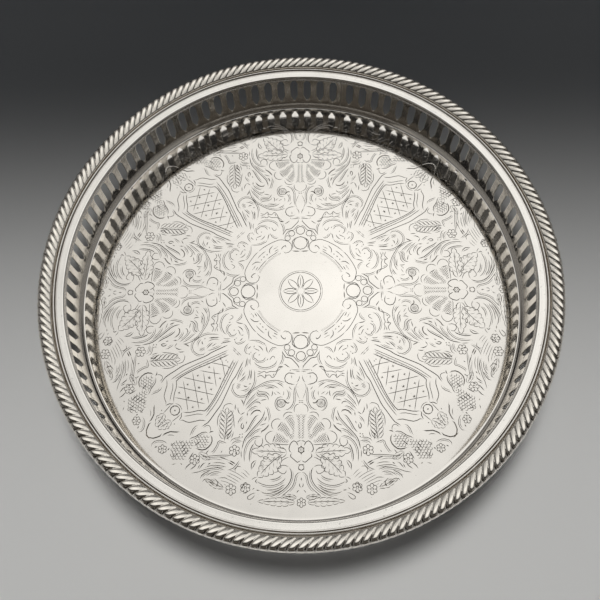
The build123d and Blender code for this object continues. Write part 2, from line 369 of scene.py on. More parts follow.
RIM_SCROLL = [
    ("m", (7.4, 112.1), (10.1, 111.1), (12.5, 111.5), (13.9, 112.9), (13.9, 114.3), (12.5, 115.4),
     (10.4, 116.2), (9, 114.8), (8.8, 113.7)),
    ("b", (7.4, 112.1), (6.1, 114.3), (5.8, 117), (6.3, 119.7), (7.9, 122.6), (10.1, 124.8), (13, 126.9),
     (16.3, 128.5), (19.5, 129.3)),
    ("b", (11.4, 116.4), (13, 118), (15.2, 119.1), (17.4, 119.4), (19.5, 119.4)),
    ("m", (9, 118), (10.6, 119.9), (13, 121.5), (15.7, 122.5), (19, 122.9), (22.2, 122.3), (24.9, 121.3),
     (26.8, 120.2)),
    ("b", (9, 122.1), (11.2, 122.9), (13, 124.2), (15.5, 125), (18.4, 125.4), (21.4, 125.2)),
    ("b", (9.8, 123.2), (12.5, 125), (15.2, 126.4), (18.4, 127.2), (21.7, 127.3), (24.6, 125.8)),
    ("m", (0, 115.2), (1.5, 115.4), (3.1, 116.7), (3.7, 118.3), (4.2, 121), (5.8, 124), (8.8, 126.6),
     (12, 129.1)),
    ("B", (24.4, 125.7), (27.2, 125.4)),
    ("b", (26.2, 118.8), (27.3, 120.5), (26, 121.5)),
    ("m", (26.2, 118), (28.1, 118.3), (29.7, 119.7)),
    ("b", (27.6, 124), (29.2, 125.2)),
    ("m", (27, 126.9), (28.9, 127.3), (30.8, 128.3), (32.1, 129.6), (31.1, 130.7),
     (29.2, 130.1), (27.3, 128)),
    ("m", (30.3, 125.6), (32.7, 126.4), (34.8, 127.7)),
    ("m", (0, 110.6), (2.2, 111)),
    ("b", (0, 113.8), (2.2, 113.3)),
    ("B", (0, 118), (0, 120.5)),
    ("b", (1, 121.4), (1.1, 123), (0, 124)),
    ("b", (1, 125.6), (2, 125.8), (2.8, 127.2)),
    ("b", (5.8, 128.5), (7.4, 128.8), (9.3, 129.6)),
]

GARLAND = [
    ("b", (31.3, 122.3), (33.7, 121.8), (35.1, 123.7), (35.1, 125.3)),
    ("f", (44.2, 122.8), (46.4, 121.6)),
    ("f", (45, 124), (49, 122.6)),
    ("f", (45.2, 125.2), (49.5, 124)),
    ("b", (38.6, 112), (39.8, 113.5)),
    ("B", (39.2, 110.5), (41.4, 109.3), (43.2, 108.1)),
    ("B", (40.3, 111.4), (42.4, 110.1), (44.2, 109.2)),
    ("f", (30.5, 117.3), (33, 114.6), (35, 113.2)),
    ("f", (31.5, 118.5), (34.5, 115.8), (36.3, 114.8)),
    ("f", (33, 119.3), (36.5, 116.8), (40, 114.9), (43.6, 113.6)),
    ("f", (35, 119.8), (39.5, 117.2), (44, 115.2)),
    ("f", (36.5, 121), (40.5, 118.7), (45, 116.5)),
    ("f", (38, 122), (42, 119.8), (46, 118.2)),
    ("f", (41, 122.4), (44.5, 120.7), (48.5, 119.7)),
    ("m", (37, 107.8), (38.5, 110), (41, 112.8), (44.5, 113.9)),
    ("m", (35.8, 112.2), (37.6, 111.6), (39.6, 112.8), (39.4, 115)),
    ("f", (42.5, 108.6), (46, 107.2), (49, 106.9)),
    ("f", (47, 108), (52, 107.2), (56, 107.6), (59, 108.4)),
    ("m", (50.3, 123.2), (49.6, 121.4), (50.6, 119.6), (52.6, 118.4)),
    ("m", (47.5, 115.4), (51, 114.6), (54.5, 115.6), (57, 117.4)),
    ("f", (49, 117), (52, 116.4), (55, 117.4)),
    ("m", (43.8, 118.7), (46.2, 118.1), (49.5, 118.4)),
    ("B", (49.8, 122.3), (50.8, 123.2)),
    ("m", (50.8, 123.2), (52.3, 122.3), (54.1, 121.1), (56, 120.3)),
    ("b", (51.1, 121.4), (53.8, 119.9), (55.3, 119), (57.7, 119), (58.9, 120.5)),
    ("m", (45.6, 113.8), (47.7, 113.2), (50.2, 112.3), (52.3, 112.6), (55.3, 112.9), (58.3, 113.5),
     (61.4, 114.7), (66, 115.5)),
    ("b", (54.1, 113.5), (56.5, 115), (58.6, 115.9), (59.8, 117.2), (60.5, 119)),
    ("m", (44.8, 110.4), (49, 109.4), (53.5, 109.6)),
    ("m", (44.5, 112), (49, 111.2), (54, 111), (58, 112.4)),
    ("m", (41, 105.3), (46.2, 105), (52.3, 105.3), (58.3, 105.8), (60.5, 105.9)),
    ("m", (44.4, 107.8), (47.4, 106.5), (50.8, 105.9)),
    ("B", (39.2, 102.6), (39.2, 105)),
    ("b", (47.7, 102.3), (48.6, 103.8)),
    ("m", (45, 98.2), (47.2, 97.2), (50.2, 96.5), (51.1, 99), (52.3, 101.1), (53.8, 103.2), (55, 103.2)),
]

FLANK_LEAVES = [
    ("B", (55.5, 92.8), (54.2, 95.4), (54.6, 98.1), (56.3, 100.4), (58.6, 101.9), (61.2, 101.9),
     (64.2, 100.9)),
    ("B", (53.3, 90.9), (55.2, 91.1), (56.3, 92)),
    ("b", (56.3, 92), (58.2, 91.3), (60.5, 91.5), (62.7, 92.8), (65, 94.3), (66.9, 94.7), (68.4, 95.8)),
    ("b", (60.8, 96.4), (63.1, 98.1), (65, 99.8)),
    ("m", (55.5, 91), (55.4, 88.8), (57.2, 87), (60, 88.6)),
    ("m", (62.7, 86.9), (65, 87.9), (66.5, 89.8), (67.3, 92), (68.2, 93.9)),
    ("b", (55.9, 101.9), (57.8, 104.2)),
    ("b", (72.2, 96.4), (73.7, 98.1)),
    ("b", (76.4, 97), (79.4, 99.6)),
    ("b", (69.9, 97.7), (72.2, 100.4), (73.3, 101.6)),
    ("b", (68, 101.5), (69.9, 103.8), (72.2, 105.3)),
    ("b", (69.5, 100), (71.4, 102.3), (73, 103.5)),
    ("b", (74.1, 103.4), (76.9, 105.9)),
    ("b", (65, 103), (66.5, 105.3), (68, 107.9)),
    ("m", (75.2, 100.4), (76.4, 102.3)),
    ("m", (77.9, 102.6), (77.5, 104.5), (76.4, 107.9)),
    ("b", (61.2, 107.2), (63.1, 109.1)),
    ("b", (62.7, 110.2), (64.2, 111.7), (66.9, 113.6)),
    ("b", (65.8, 109.1), (68.8, 111.7), (69.9, 113.6)),
    ("b", (60.8, 110.2), (62.3, 113.2)),
    ("B", (54.4, 109.4), (56.2, 110.8)),
    ("b", (57.1, 109.3), (59.2, 110.2), (60.5, 112), (61.4, 113.2)),
    ("B", (74.1, 90.9), (77.1, 91.3), (79.8, 90.9), (83.6, 92.4), (85.1, 93.9)),
    ("m", (77.1, 93.5), (79.4, 92.8), (82, 93.2)),
    ("B", (85.1, 92), (86.2, 93.5), (88.1, 94.3), (90.8, 94.9), (93.8, 93.9), (95.7, 92)),
    ("m", (81.3, 98.1), (83.6, 96.6), (86.2, 96), (89.2, 96.6), (90.8, 98.1), (91, 100)),
    ("B", (87.3, 99.6), (89.2, 100.6)),
    ("m", (85.5, 100.7), (87, 102.3)),
    ("B", (79.8, 100.7), (81.3, 102.3)),
    ("b", (82.4, 103), (84.3, 103.6)),
    ("B", (71.4, 110.6), (73, 109.8)),
    ("b", (75.2, 109.8), (78.3, 110.6)),
]

TRELLIS_FRAME = [
    ("b", (36.3, 46.5), (38.6, 51.5), (41.5, 57.5), (43.2, 59.8), (45.7, 65.6), (47.8, 70.5), (49.9, 75.1),
     (52.9, 79.4), (55.4, 83.2), (57.4, 85.7), (59.5, 87), (61.2, 88.1)),
    ("m", (39.5, 46), (43, 53.5), (46.5, 61), (49.5, 67.5), (53, 74), (56.5, 79), (59, 82.2)),
    ("m", (41, 46.5), (44.5, 53.5), (47.8, 60.5), (51, 67), (54, 72.5), (57, 77.3), (58.8, 79.8)),
    ("b", (42.5, 45.5), (46, 53), (49, 59.5), (51.6, 65.8), (54.3, 71.2), (57.2, 75.8), (59.7, 78.4),
     (62.7, 77.9), (66.4, 78.8), (70, 79.3), (73.3, 79.0)),
    ("m", (60, 80.6), (64, 80.2), (68, 81), (72.5, 81.6)),
    ("b", (58, 84.6), (62, 84), (66, 84.9), (70, 85.4), (72, 84), (75, 84.1)),
    ("m", (37.5, 43.6), (40.8, 40.4)),
    ("m", (39, 43.6), (41.6, 41.2)),
    ("b", (73.3, 79), (74.1, 80.3), (73.7, 81.4), (75, 84.1)),
    ("m", (74.1, 80.3), (77.1, 82.9), (79.8, 85.2)),
    ("m", (73.7, 77), (75.5, 74.5), (78.5, 73.5)),
]

# Lines of the trellis. They cross the diagonal, so each has a mirror image that crosses it the other way
TRELLIS = [
    ("m", (50.5, 45), (49, 51), (47.8, 57)),
    ("m", (55.3, 50), (54, 58), (52.8, 64)),
    ("m", (61.5, 54), (59.3, 65), (57, 74.5)),
    ("m", (68.5, 53.5), (65.7, 66), (63, 77.7)),
    ("m", (74, 59), (71.8, 69), (69.8, 79)),
]

# Ring-shaped cuts: (weight, a, r, radius)
BEADS = [
    ("b", 0, 34.6, 4.65),
    ("m", 0, 43.9, 3.0),
    ("m", 5.9, 41.7, 2.1),
    ("m", 8.7, 38.2, 1.9),
    ("m", 12.3, 73.9, 2.6),
    ("b", 0, 102.2, 1.7),
    ("f", 0, 102.2, 0.7),
    ("m", 0, 112.5, 1.7),
    ("m", 77.9, 78.1, 3.0),
]
# Punched dots, each a short fat cut
DOTS = [
    (26.5, 43.0), (32.8, 42.4), (35.9, 92.6), (37.4, 92.9), (35.9, 94.4), (37.7, 94.1), (66.5, 96.4),
    (66.1, 97.7), (82.4, 87.9), (77.9, 86.3), (0, 100.2), (1.6, 101.1), (1.6, 103.2), (0, 104.4),
    (77.9, 78.2), (45.7, 51.0), (46.4, 47.5),
]
DOT_ARM = (0.45, 0.3)
# Small crosses between the lines of the trellis
TRELLIS_FLOWERS = [(57.3, 57.8), (63.6, 63.9), (70, 70.2), (50.8, 58), (56.1, 64.9), (61.8, 71), (67, 76)]
CROSS_ARM = 1.1
CROSS_TURN = 20  # degrees
# Toothed leaves and leafy sprays: (foot, tip, width, teeth or leaflets on each side)
LEAVES = [
    ((8.6, 103.9), (29.3, 102.6), 8.0, 6),
    ((12.6, 105.2), (25.6, 117.4), 9.6, 6),
    ((3.6, 132.4), (25, 131.7), 4.2, 6),
    ((2.6, 129.6), (11.5, 128.8), 2.6, 3),
    ((46.5, 124.2), (57, 119.3), 3.6, 4),
    ((62, 103.5), (55, 107.5), 3.4, 3),
    ((79.8, 84.6), (87.5, 89), 5.0, 4),
]
SPRAYS = [
    ((46.6, 95.5), (45.6, 76.5), 9.4, 6),
]
# Small flowers: (middle, radius, petals)
ROSETTES = [
    ((33.2, 124.0), 2.9, 6),
    ((41.8, 125.0), 3.1, 6),
    ((0, 132.5), 2.6, 6),
    ((40.4, 102.4), 3.2, 6),
    ((64.2, 107.6), 3.0, 6),
    ((84.2, 101.4), 2.6, 6),
]
# Clusters of small overlapping scales: (outline, angle they point to in degrees, spacing)
SCALES = [
    ([(66, 96.5), (69.5, 95.2), (75, 95.4), (78.5, 98.5), (78.8, 103.5), (76.8, 107.2), (72.5, 107.6),
      (68.5, 105), (66, 101)], 45, 2.0),
    ([(56, 93.2), (59, 92), (63, 93.8), (65.4, 96.4), (64.4, 99.4), (60.6, 101), (57, 99.6), (55.6, 96.4)],
     50, 1.9),
]

# Hatched areas: (outline, directions of the lines in degrees, spacing)
HATCHES = [
    ([(4.2, 95), (3.4, 86.5), (4.9, 81.8), (7, 81.8), (9, 83.2), (10.5, 84.9), (12.2, 85.5), (13.2, 87.8),
      (14.7, 89.7), (15.6, 93), (16.4, 95.7), (17.1, 97.9), (13.2, 98.3), (8, 98.5), (6.8, 97)],
     (35, -55), 1.05),
    ([(0, 80.5), (3.4, 80.6), (2.7, 84), (2.3, 88), (2.0, 95.6), (0, 95.8)], (45, -45), 1.05),
    ([(9.9, 73), (11.4, 71.7), (13.6, 71.8), (14.7, 73.4), (14.3, 75.5), (12.4, 76.3), (10.4, 75.4)],
     (20, -70), 0.8),
    ([(37.3, 61), (39.9, 61.2), (40.9, 63.3), (40.2, 65.2), (37.8, 64.6)], (30, -60), 0.85),
    ([(21.5, 109.3), (23.9, 108.9), (25.0, 111.5), (24.4, 114), (22.9, 113.8)], (60,), 0.75),
    ([(41.6, 46.7), (45.1, 53.5), (48.4, 60.5), (51.6, 67), (54.5, 72.3), (57.4, 76.9), (58.4, 77.5),
      (53.9, 71.3), (51.2, 65.9), (48.6, 59.7), (45.6, 53.2), (42.6, 47)], (75, -15), 0.8),
]
# Ribs of the fan, which the hatching leaves clear by this gap
FAN_RIBS = [
    [(2.9, 86.2), (3.7, 82.4), (4.8, 79.8)],
    [(5.6, 92.3), (7.1, 88.5), (9.4, 85.8), (11.3, 84.3)],
    [(6.3, 97.2), (9.4, 94.2), (12.4, 91.9), (15.4, 90.8)],
]
RIB_GAP = 0.55

# Generic eight-petalled star in the middle
STAR_PETAL = [(0, 1.6), (1.5, 4.3), (1.9, 7.0), (1.2, 9.8), (0, 11.9)]
STAR_RINGS = [("m", 13.2), ("f", 14.3)]

# Row of short strokes in the frame around the middle
TICK_COUNT = 12
TICK_START = 26.5  # degrees from the middle of the shell motif
TICK_SPACING = 1.6
TICK_RADII = (29.3, 31.3)

# Thin lines cut beside the longer strokes of these motifs
SHADED_MOTIFS = (C_SCROLL, ACANTHUS_SCROLL, STEMS, TEARDROP, RIM_SCROLL, GARLAND, FLANK_LEAVES)
SHADE_GAP = 0.95
SHADE_LENGTH = 6  # shorter strokes get none


def smooth_curve(points):
    """A fine Catmull-Rom curve through the points."""
    p = np.array(points, float)
    if len(p) < 3:
        return p
    padded = np.vstack([2 * p[0] - p[1], p, 2 * p[-1] - p[-2]])
    t = np.arange(10)[:, None] / 10
    spans = []
    for i in range(len(p) - 1):
        a, b, c, d = padded[i : i + 4]
        curve = 2 * b + (c - a) * t + (2 * a - 5 * b + 4 * c - d) * t**2 + (3 * b - a - 3 * c + d) * t**3
        spans.append(curve / 2)
    return np.vstack(spans + [p[-1:]])


def cut_along(points, width):
    """Evenly spaced centre points of a cut, with its half width at each: pointed at both ends."""
    fine = smooth_curve(points)
    along = np.concatenate([[0], np.cumsum(np.hypot(*np.diff(fine, axis=0).T))])
    length = along[-1]
    if len(points) == 2:
        at = np.array([0, 1, 2]) * length / 2
        if length > 3.2 * TAPER:
            at = np.array([0, 0.8 * TAPER, length - 0.8 * TAPER, length])
    else:
        heading = np.unwrap(np.arctan2(*np.diff(fine, axis=0).T[::-1]))
        bends = np.abs(np.diff(heading)).sum()
        count = max(3, int(np.ceil(length / STEP)), int(np.ceil(bends / BEND)))
        at = np.linspace(0, length, count + 1)
    centre = np.column_stack([np.interp(at, along, fine[:, i]) for i in range(2)])
    taper = min(TAPER, length / 2)
    half = width / 2 * np.clip(np.minimum(at, length - at) / taper, 0, 1) ** 0.5
    return centre, half


def cut_ring(x, y, radius, width):
    """Centre points and half widths of a cut that runs round in a circle."""
    count = max(9, int(2 * pi * radius / STEP))
    turns = np.arange(count + 1) * 2 * pi / count
    centre = np.column_stack([x + radius * np.cos(turns), y + radius * np.sin(turns)])
    return centre, np.full(count + 1, width / 2)


def on_axis(foot, tip, points):
    """Points given as (share of the way from foot to tip, distance to one side), in place."""
    foot, axis = np.array(foot, float), np.subtract(tip, foot)
    side = np.array([axis[1], -axis[0]]) / np.hypot(*axis)
    return [tuple(foot + share * axis + offset * side) for share, offset in points]


def leaf(foot, tip, width, teeth):
    """A toothed leaf: an arc for each tooth, a midrib and a vein to each tooth."""
    cuts = [("m", *on_axis(foot, tip, [(0, 0), (0.45, 0.05 * width), (0.92, 0)]))]
    for side in (-1, 1):
        for tooth in range(teeth):
            low, high = tooth / teeth, (tooth + 1) / teeth
            near = side * width / 2 * sin(pi * low**0.75)
            far = side * width / 2 * sin(pi * high**0.75)
            middle = 0.5 * (near + far) + side * 0.14 * width
            cuts.append(("m", *on_axis(foot, tip, [(low, 0.62 * near), (0.5 * low + 0.5 * high, middle),
                                                   (high + 0.05, far)])))
            if 0 < tooth < teeth - 1:
                cuts.append(("f", *on_axis(foot, tip, [(low - 0.02, 0), (high - 0.05, 0.62 * far)])))
    return cuts


def spray(foot, tip, width, leaflets):
    """A stem with pairs of pointed leaflets and one at its end."""
    cuts = [("m", *on_axis(foot, tip, [(-0.08, 0), (0.5, 0.04 * width), (0.86, 0)]))]
    for side in (-1, 1):
        for number in range(leaflets):
            low = number / (leaflets + 1)
            reach = side * width / 2 * (1 - 0.35 * abs(low - 0.4))
            long = 1.45 / (leaflets + 1)
            end = (low + long, reach)
            cuts.append(("m", *on_axis(foot, tip, [(low, 0), (low + 0.2 * long, 0.62 * reach), end])))
            cuts.append(("m", *on_axis(foot, tip, [(low, 0), (low + 0.72 * long, 0.38 * reach), end])))
        cuts.append(("m", *on_axis(foot, tip, [(0.82, 0), (0.9, side * 0.14 * width), (1.02, 0)])))
    return cuts


def rosette(middle, radius, petals):
    """A small flower: petals round a ringed eye."""
    cuts = []
    for petal in range(petals):
        arcs = (-0.5, 0.3), (-0.42, 0.85), (0, 1.05), (0.42, 0.85), (0.5, 0.3)
        turns = [(2 * pi * (petal + share) / petals, radius * reach) for share, reach in arcs]
        cuts.append(("m", *((middle[0] + r * sin(t), middle[1] + r * cos(t)) for t, r in turns)))
    turns = [2 * pi * step / 6 for step in range(7)]
    eye = 0.25 * radius
    cuts.append(("b", *((middle[0] + eye * sin(t), middle[1] + eye * cos(t)) for t in turns)))
    return cuts


def scales(outline, angle, spacing):
    """Rows of small arcs that fill the outline, all bulging the same way."""
    corners = np.array(outline, float)
    low, high = corners.min(0), corners.max(0)
    cuts = []
    for row, y in enumerate(np.arange(low[1], high[1], 0.8 * spacing)):
        for x in np.arange(low[0] + row % 2 * spacing / 2, high[0], spacing):
            if inside(np.array([[x, y]]), outline)[0]:
                turns = [radians(angle + step) for step in (-100, -50, 0, 50, 100)]
                radius = 0.5 * spacing
                cuts.append(("m", *((x + radius * cos(t), y + radius * sin(t)) for t in turns)))
    return cuts


def beside(points, gap):
    """The middle part of a line, moved sideways."""
    fine = smooth_curve(points)
    tangent = np.gradient(fine, axis=0)
    tangent /= np.maximum(np.hypot(*tangent.T), 1e-9)[:, None]
    moved = fine + gap * tangent[:, ::-1] * (-1, 1)
    first, last = int(0.12 * len(moved)), int(0.88 * len(moved))
    return [tuple(point) for point in moved[first : last : 5]]


def inside(points, outline):
    """Which of the points lie within the outline."""
    x, y = points.T
    hits = np.zeros(len(points), bool)
    for (x0, y0), (x1, y1) in zip(outline, outline[1:] + outline[:1]):
        if y0 != y1:
            hits ^= ((y0 > y) != (y1 > y)) & (x < (x1 - x0) * (y - y0) / (y1 - y0) + x0)
    return hits


def near_rib(points):
    """Which of the points lie on a rib of the fan, where no hatching is cut."""
    hits = np.zeros(len(points), bool)
    for rib in FAN_RIBS:
        for point in smooth_curve(rib):
            hits |= np.hypot(*(points - point).T) < RIB_GAP
    return hits


def hatch_lines(outline, angle, spacing):
    """Straight lines at one angle that fill the outline."""
    corners = np.array(outline, float)
    along = np.array([cos(radians(angle)), sin(radians(angle))])
    across = np.array([-along[1], along[0]])
    reach = corners @ across
    ends = corners @ along
    lines = []
    for offset in np.arange(reach.min() + spacing / 2, reach.max(), spacing):
        t = np.arange(ends.min(), ends.max(), 0.25)
        points = along * t[:, None] + across * offset
        kept = inside(points, outline) & ~near_rib(points)
        edges = np.flatnonzero(np.diff(np.concatenate([[0], kept.astype(int), [0]])))
        for first, last in zip(edges[::2], edges[1::2] - 1):
            if last - first > 2:
                lines.append((tuple(points[first]), tuple(points[last])))
    return lines


def all_cuts():
    """Every cut of the first eighth of the pattern, with the mirror images of those that meet its edges."""
    cuts = []
    motifs = (BALL_AND_FRAME, CROWN, C_SCROLL, BAT_WING, PENDANT, ACANTHUS_SCROLL, STEMS, WHEAT_EAR,
              TEARDROP, FAN_AND_FLOWER, FLOWER_LEAVES, RIM_SCROLL, GARLAND, FLANK_LEAVES, TRELLIS_FRAME,
              TRELLIS)
    motifs += tuple(leaf(*place) for place in LEAVES)
    motifs += tuple(spray(*place) for place in SPRAYS)
    motifs += tuple(rosette(*place) for place in ROSETTES)
    motifs += tuple(scales(*place) for place in SCALES)
    for motif in motifs:
        for weight, *points in motif:
            cuts.append(cut_along(points, CUT_WIDTH[weight]))
    for motif in SHADED_MOTIFS:
        for weight, *points in motif:
            span = np.hypot(*np.subtract(points[0], points[-1]))
            if weight in "mb" and len(points) > 3 and span > SHADE_LENGTH:
                cuts.append(cut_along(beside(points, SHADE_GAP), CUT_WIDTH["f"]))
    for weight, x, y, radius in BEADS:
        cuts.append(cut_ring(x, y, radius, CUT_WIDTH[weight]))
    dx, dy = DOT_ARM
    for x, y in DOTS:
        cuts.append(cut_along([(x - dx, y - dy), (x + dx, y + dy)], CUT_WIDTH["B"]))
    for x, y in TRELLIS_FLOWERS:
        for turned in (CROSS_TURN, CROSS_TURN + 90):
            dx, dy = CROSS_ARM * cos(radians(turned)), CROSS_ARM * sin(radians(turned))
            cuts.append(cut_along([(x - dx, y - dy), (x + dx, y + dy)], CUT_WIDTH["b"]))
    for outline, angles, spacing in HATCHES:
        for angle in angles:
            cuts += [cut_along(line, CUT_WIDTH["f"]) for line in hatch_lines(outline, angle, spacing)]
    for tick in range(TICK_COUNT):
        angle = radians(TICK_START + TICK_SPACING * tick)
        line = [(r * sin(angle), r * cos(angle)) for r in TICK_RADII]
        cuts.append(cut_along(line, CUT_WIDTH["f"]))
    cuts.append(cut_along(STAR_PETAL, CUT_WIDTH["b"]))
    cuts.append(cut_along([((r - a) / 2**0.5, (r + a) / 2**0.5) for a, r in STAR_PETAL], CUT_WIDTH["m"]))
    cuts.append(cut_along([(0, 3.5), (0, 9.8)], CUT_WIDTH["m"]))
    for weight, radius in STAR_RINGS:
        turns = [radians(a) for a in range(-6, 55, 6)]
        cuts.append(cut_along([(radius * sin(t), radius * cos(t)) for t in turns], CUT_WIDTH[weight]))
    twins = []
    for centre, half in cuts:
        if centre[:, 0].min() < AXIS_REACH:
            twins.append((centre * (-1, 1), half))
        if (centre[:, 1] - centre[:, 0]).min() < DIAGONAL_REACH:
            twins.append((centre[:, ::-1], half))
    return cuts + twins


def groove_depth(points, cuts):
    """How deep the floor is cut at each point, as a share of the full depth."""
    depth = np.zeros(len(points))
    for centre, half in cuts:
        reach = half.max()
        low, high = centre.min(0) - reach, centre.max(0) + reach
        near = np.flatnonzero(((points > low) & (points < high)).all(1))
        if not len(near):
            continue
        p = points[near]
        best = np.zeros(len(near))
        for a, b, h0, h1 in zip(centre, centre[1:], half, half[1:]):
            span = b - a
            t = np.clip((p - a) @ span / max(span @ span, 1e-9), 0, 1)
            gap = np.hypot(*(p - a - t[:, None] * span).T)
            width = np.maximum(h0 + (h1 - h0) * t, 1e-3)
            best = np.maximum(best, (1 - gap / width) * np.minimum(1, width / FULL_WIDTH))
        depth[near] = np.maximum(depth[near], best)
    return depth


def engraved_eighth():
    """Points, depth shares and triangles of the first eighth of the engraved floor."""
    cuts = all_cuts()
    points = []
    edges = []

    def add_line(line):
        start = len(points)
        points.extend(line)
        edges.extend((start + i, start + i + 1) for i in range(len(line) - 1))

    for centre, half in cuts:
        if (centre[:, 0] < -1).all() or (centre[:, 0] > centre[:, 1] + 1.4).all():
            continue
        tangent = np.gradient(centre, axis=0)
        tangent /= np.maximum(np.hypot(*tangent.T), 1e-9)[:, None]
        normal = tangent[:, ::-1] * (-1, 1)
        for side in (-1, 0, 1):
            add_line(centre + side * half[:, None] * normal)
    steps = RING_STEPS // 8
    rim = [(ENGRAVED_RADIUS * sin(pi / 4 * i / steps), ENGRAVED_RADIUS * cos(pi / 4 * i / steps))
           for i in range(steps + 1)]
    add_line([(0, 0)] + rim + [(0, 0)])
    flat = [Vector(point) for point in points]
    coords, _, triangles, _, _, _ = delaunay_2d_cdt(flat, edges, [], 0, 1e-3)
    xy = np.array([tuple(c) for c in coords])
    tri = np.array(triangles)
    middle = xy[tri].mean(1)
    a, b, c = xy[tri[:, 0]], xy[tri[:, 1]], xy[tri[:, 2]]
    area = (b[:, 0] - a[:, 0]) * (c[:, 1] - a[:, 1]) - (b[:, 1] - a[:, 1]) * (c[:, 0] - a[:, 0])
    kept = (middle[:, 0] > 0) & (middle[:, 0] < middle[:, 1]) & (np.hypot(*middle.T) < ENGRAVED_RADIUS)
    kept &= area > 1e-9
    tri = tri[kept]
    used, tri = np.unique(tri, return_inverse=True)
    xy = xy[used]
    return xy, groove_depth(xy, cuts), tri.reshape(-1, 3)


def engraved_floor():
    """The engraved disc, from eight turned and mirrored copies: points, tarnish and triangles."""
    xy, depth, tri = engraved_eighth()
    points, tarnish_and_shade, faces = [], [], []
    for c, s in ((1, 0), (0, 1), (-1, 0), (0, -1)):
        for side in (1, -1):
            x, y = side * xy[:, 0], -xy[:, 1]
            start = sum(len(block) for block in points)
            points.append(np.column_stack([c * x - s * y, s * x + c * y, FLOOR_LEVEL - CUT_DEPTH * depth]))
            tarnish_and_shade.append(depth)
            faces.append((tri[:, ::-1] if side == 1 else tri) + start)
    return np.vstack(points), np.concatenate(tarnish_and_shade), np.vstack(faces)


def build_pan(material):
    """The pan: engraved disc, rounded corner, upturned edge and underside in one skin."""
    disc, tarnish_and_shade, triangles = engraved_floor()
    inner = GALLERY_RADIUS - 0.12
    lip = 0.06
    round_under = 3.5
    flat_under = 120
    lean = degrees(atan2(UPSTAND_FLARE, PAN_TOP - lip - FLOOR_LEVEL - COVE))
    profile = [(ENGRAVED_RADIUS, FLOOR_LEVEL)]
    profile += arc((inner - UPSTAND_FLARE - COVE, FLOOR_LEVEL + COVE), COVE, -90, -lean, 7)
    profile += [(inner - lip, PAN_TOP - lip), (inner, PAN_TOP), (GALLERY_RADIUS, PAN_TOP)]
    profile += arc((GALLERY_RADIUS - round_under, PAN_BOTTOM + round_under), round_under, 0, -90, 6)
    profile += [(flat_under, PAN_BOTTOM)]
    rings = turn(profile)
    count = len(profile)
    faces = []
    for step in range(RING_STEPS):
        here, there = step * count, (step + 1) % RING_STEPS * count
        faces += [(here + i, there + i, there + i + 1, here + i + 1) for i in range(count - 1)]
    faces.append([step * count + count - 1 for step in range(RING_STEPS)])
    start = len(disc)
    faces = triangles.tolist() + [[start + i for i in face] for face in faces]
    # painted shade: the rounded corner and upturned edge darken towards the pan's lip, where the gallery
    # meets it; the disc keeps its engraving's tarnish
    lip_painted_shade = np.interp(rings[:, 2], (FLOOR_LEVEL + 0.4, FLOOR_LEVEL + 2, PAN_TOP), (0, 0.1, 0.25))
    piece = make_piece("pan_engraved", np.vstack([disc, rings]), faces, material)
    set_value(piece, "tarnish_and_shade", np.concatenate([tarnish_and_shade, lip_painted_shade]))
    # the engraved disc is shaded flat, so its cuts stay crisp
    smooth = [index >= len(triangles) for index in range(len(piece.data.polygons))]
    piece.data.polygons.foreach_set("use_smooth", smooth)
    weld(piece)
    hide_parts("floor_plate")
    return piece


def weld(piece):
    """Joins the points that lie on each other."""
    gap = 0.002
    mesh = bmesh.new()
    mesh.from_mesh(piece.data)
    bmesh.ops.remove_doubles(mesh, verts=mesh.verts, dist=gap * MM)
    mesh.to_mesh(piece.data)
    mesh.free()


# ---------------------------------------------------------------- pierced gallery

STRIP_LEAN = 0.9  # the strip leans out by this much
STRIP_LEAN_HEIGHT = 3.6  # over this height above the pan's edge
HOLE_ROUNDING = 0.1  # how far each corner of a piercing is rounded back
HOLE_RINGS = [  # offset of the hole's outline and depth into the sheet, in turn
    (0.55, 0.0),
    (0.22, 0.0),
    (0.06, 0.07),
    (0.0, 0.22),
    (0.0, 0.58),
    (0.06, 0.73),
    (0.22, 0.8),
    (0.55, 0.8),
]


def hole_outline(offset):
    """The outline of one piercing, grown by the offset, its corners rounded."""
    half = PIERCING_WIDTH / 2 + offset
    tip = PIERCING_TIP / 2 + offset * 0.4
    top = PIERCING_HEIGHT / 2 + offset
    shoulder = PIERCING_HEIGHT / 2 - PIERCING_POINT + offset * 0.4
    corners = [(tip, -top), (half, -shoulder), (half, shoulder), (tip, top)]
    corners += [(-x, -y) for x, y in corners]
    outline = []
    for i, corner in enumerate(corners):
        here = np.array(corner)
        before = np.array(corners[i - 1]) - here
        after = np.array(corners[(i + 1) % len(corners)]) - here
        cut_before = before * min(0.42, HOLE_ROUNDING / np.hypot(*before))
        cut_after = after * min(0.42, HOLE_ROUNDING / np.hypot(*after))
        for t in (0, 0.33, 0.67, 1):
            outline.append(tuple(here + cut_before * (1 - t) ** 2 + cut_after * t**2))
        if i in (1, 5):
            outline += [(corner[0], y) for y in (-shoulder * 0.4 * np.sign(corner[0]), 0,
                                                 shoulder * 0.4 * np.sign(corner[0]))]
    return outline


